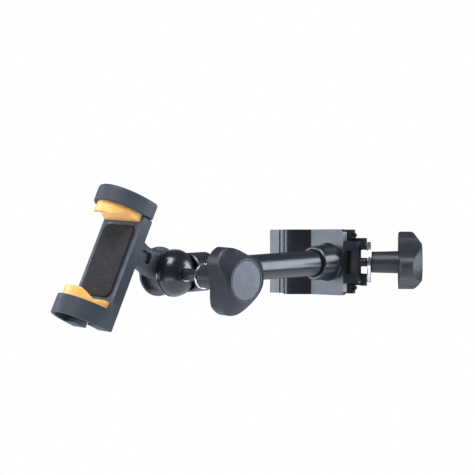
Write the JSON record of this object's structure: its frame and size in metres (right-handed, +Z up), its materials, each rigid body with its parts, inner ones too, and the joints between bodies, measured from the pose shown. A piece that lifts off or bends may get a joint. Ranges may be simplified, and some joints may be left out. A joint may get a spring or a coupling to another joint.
{
  "type": "phone holder",
  "caption": "Phone holder with a hinged pole clamp, a turning arm, a knob-locked tilt head and a spring clip with amber rubber jaws.",
  "frame": {"origin": "on the centre line of the pole that the clamp holds, at the clamp's mid height", "axes": "+Z up along the pole, the arm leaves the clamp towards -Y, both knobs stand out towards +X"},
  "size_m": [0.1152, 0.2778, 0.0869],
  "materials": {
    "cast_black": "satin black coat on a die casting",
    "arm_black": "satin black coat on a cast tube",
    "gloss_black": "glossy black coat",
    "cap_black": "plain black",
    "black_rubber": "matt black rubber",
    "steel": "bright zinc",
    "thread_steel": "threaded, zinc",
    "bright_steel": "bright",
    "black_steel": "blackened",
    "knob_plastic": "fine grained black",
    "disc_plastic": "smooth black",
    "bush_plastic": "plain nylon",
    "clip_plastic": "matt blue-black",
    "amber_rubber": "amber, slightly clear",
    "dark_foam": "fine suede-like foam"
  },
  "bodies": {
    "clamp": {"front_jaw": "cast_black", "front_liner": "black_rubber", "hinge_pin": "steel", "barrel_pin": "steel", "arm_bush": "bush_plastic"},
    "rear_jaw": {"rear_jaw": "cast_black", "rear_liner": "black_rubber", "rear_jaw_screws": "black_steel"},
    "swing_bolt": {"bolt_barrel": "steel", "swing_bolt": "thread_steel"},
    "clamp_washer": {"clamp_washer": "bright_steel"},
    "clamp_knob": {"clamp_knob": "knob_plastic", "clamp_knob_nut": "steel", "clamp_knob_disc": "disc_plastic"},
    "arm": {"arm": "arm_black", "arm_keeper": "steel", "arm_keeper_screw": "black_steel", "elbow_head": "gloss_black", "pivot_bolt": "thread_steel", "pivot_cap": "cap_black", "pivot_spacer": "cap_black", "friction_washer": "bush_plastic"},
    "tilt_washer": {"tilt_washer": "bright_steel"},
    "tilt_knob": {"tilt_knob": "knob_plastic", "tilt_knob_nut": "steel", "tilt_knob_disc": "disc_plastic"},
    "clip": {"clip_neck": "clip_plastic", "neck_screws": "black_steel", "clip_body": "clip_plastic", "lower_liner": "amber_rubber", "foam_pad": "dark_foam", "jaw_spring": "steel"},
    "upper_jaw": {"upper_jaw": "clip_plastic", "upper_liner": "amber_rubber", "jaw_tongue": "steel"}
  },
  "joints": [
    {"name": "bolt_swing", "type": "hinge", "parent": "clamp", "child": "swing_bolt", "pos_m": [0.042, 0.008, 0], "axis": [0, 0, -1], "range_deg": [0, 65]},
    {"name": "rear_jaw_swing", "type": "hinge", "parent": "clamp", "child": "rear_jaw", "pos_m": [-0.0219, 0.005, 0], "axis": [0, 0, 1], "range_deg": [0, 19.5]},
    {"name": "clamp_knob_travel", "type": "slide", "parent": "swing_bolt", "child": "clamp_washer", "axis": [0.7716, 0.6361, 0], "range_m": [0, 0.006]},
    {"name": "clamp_knob_turn", "type": "hinge", "parent": "clamp_washer", "child": "clamp_knob", "pos_m": [0.042, 0.008, 0], "axis": [0.7716, 0.6361, 0], "range_deg": [0, 2160]},
    {"name": "arm_turn", "type": "hinge", "parent": "clamp", "child": "arm", "pos_m": [0.0283, -0.0049, 0], "axis": [0, -0.9994, -0.0349], "continuous": true},
    {"name": "tilt_knob_travel", "type": "slide", "parent": "arm", "child": "tilt_washer", "axis": [0.9986, 0.0018, -0.0523], "range_m": [0, 0.004]},
    {"name": "tilt_knob_turn", "type": "hinge", "parent": "tilt_washer", "child": "tilt_knob", "pos_m": [0.0283, -0.14551, -0.00491], "axis": [0.9986, 0.0018, -0.0523], "range_deg": [0, 1440]},
    {"name": "clip_tilt", "type": "hinge", "parent": "arm", "child": "clip", "pos_m": [0.0283, -0.14551, -0.00491], "axis": [-0.9986, -0.0018, 0.0523], "range_deg": [-100, 55]},
    {"name": "jaw_slide", "type": "slide", "parent": "clip", "child": "upper_jaw", "axis": [0.047, 0.4068, 0.9123], "range_m": [0, 0.035]}
  ],
  "couplings": [
    {"joint": "rear_jaw_swing", "follows": "bolt_swing", "ratio": 0.3},
    {"joint": "clamp_knob_turn", "follows": "clamp_knob_travel", "rad_per_m": 6283.2},
    {"joint": "tilt_knob_turn", "follows": "tilt_knob_travel", "rad_per_m": 6283.2}
  ]
}
